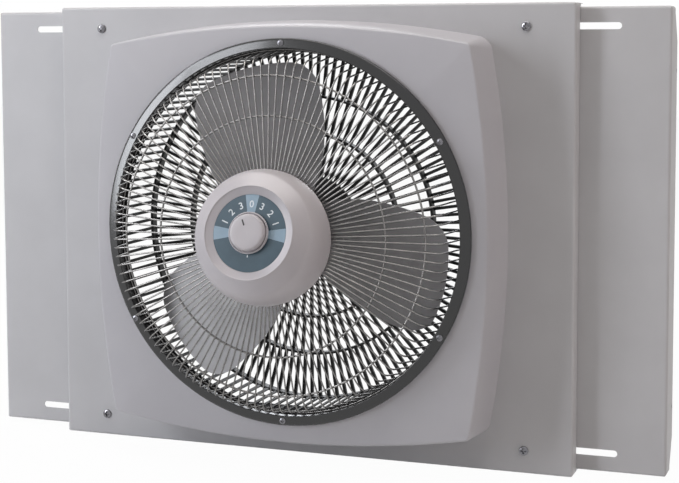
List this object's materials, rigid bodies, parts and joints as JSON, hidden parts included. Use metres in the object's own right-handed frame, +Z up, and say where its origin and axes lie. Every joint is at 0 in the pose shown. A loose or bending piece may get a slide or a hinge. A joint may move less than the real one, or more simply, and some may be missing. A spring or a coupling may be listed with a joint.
{
  "type": "window fan",
  "caption": "Window fan with a folded panel, two sliding side panels, a squarish bezel, a radial wire grille, a dial pod and a three-bladed propeller.",
  "frame": {"origin": "underside of the main panel's bottom flange, at the middle of its width and depth, where it rests on the sill", "axes": "+Z up, the front with the dial looks towards -Y, +X to the right seen from the front"},
  "size_m": [0.884, 0.2501, 0.556],
  "materials": {
    "panel_paint": "satin grey powder coat",
    "bezel_plastic": "moulded, fine matt grain",
    "black_enamel": "gloss black enamel",
    "grille_wire": "bright plated wire",
    "black_plastic": "moulded black",
    "pod_plastic": "satin light grey",
    "dial_print": "printed dark teal disc",
    "blade_metal": "rolled sheet",
    "steel_zinc": "zinc plated",
    "screw_chrome": "plated",
    "plate_cream": "cream paint",
    "motor_steel": "bare laminations",
    "copper_winding": "enamelled wire",
    "bronze": "sintered",
    "white_plastic": "moulded white",
    "rubber": "matt black"
  },
  "bodies": {
    "frame": {"front_panel": "panel_paint", "corner_screws": "screw_chrome", "slide_bushings": "white_plastic", "slide_nuts": "steel_zinc", "front_bezel": "bezel_plastic", "bezel_face": "bezel_plastic", "bezel_posts": "bezel_plastic", "bezel_screws": "steel_zinc", "cord_grommet": "rubber", "grille_rim": "black_enamel", "rim_screws": "screw_chrome", "grille_radial_wires": "grille_wire", "grille_wire_legs": "grille_wire", "grille_ring_wires": "grille_wire", "grille_centre_plate": "plate_cream", "pod_housing": "pod_plastic", "pod_screws": "steel_zinc", "dial_plate": "dial_print", "switch_body": "black_plastic", "switch_nut": "steel_zinc", "capacitor": "white_plastic", "motor_front_shell": "steel_zinc", "motor_rear_shell": "steel_zinc", "motor_stator": "motor_steel", "motor_windings": "copper_winding", "motor_bearings": "bronze", "motor_bolts": "steel_zinc", "motor_nuts": "steel_zinc", "rear_grille": "black_plastic", "basket_wall": "black_plastic"},
    "propeller": {"motor_rotor": "motor_steel", "motor_shaft": "steel_zinc", "blade_spider": "steel_zinc", "spider_set_screw": "steel_zinc", "fan_blades": "blade_metal", "blade_rivets": "steel_zinc"},
    "knob": {"control_knob": "pod_plastic", "switch_shaft": "steel_zinc"},
    "left_panel": {"left_side_panel": "panel_paint"},
    "right_panel": {"right_side_panel": "panel_paint"}
  },
  "joints": [
    {"name": "fan_spin", "type": "hinge", "parent": "frame", "child": "propeller", "pos_m": [0, -0.0715, 0.2838], "axis": [0, 1, 0], "continuous": true},
    {"name": "knob_turn", "type": "hinge", "parent": "frame", "child": "knob", "pos_m": [0, -0.1335, 0.2817], "axis": [0, -0.9724, 0.2334], "range_deg": [-92, 46]},
    {"name": "left_panel_slide", "type": "slide", "parent": "frame", "child": "left_panel", "axis": [1, 0, 0], "range_m": [0, 0.1016]},
    {"name": "right_panel_slide", "type": "slide", "parent": "frame", "child": "right_panel", "axis": [-1, 0, 0], "range_m": [0, 0.1016]}
  ]
}
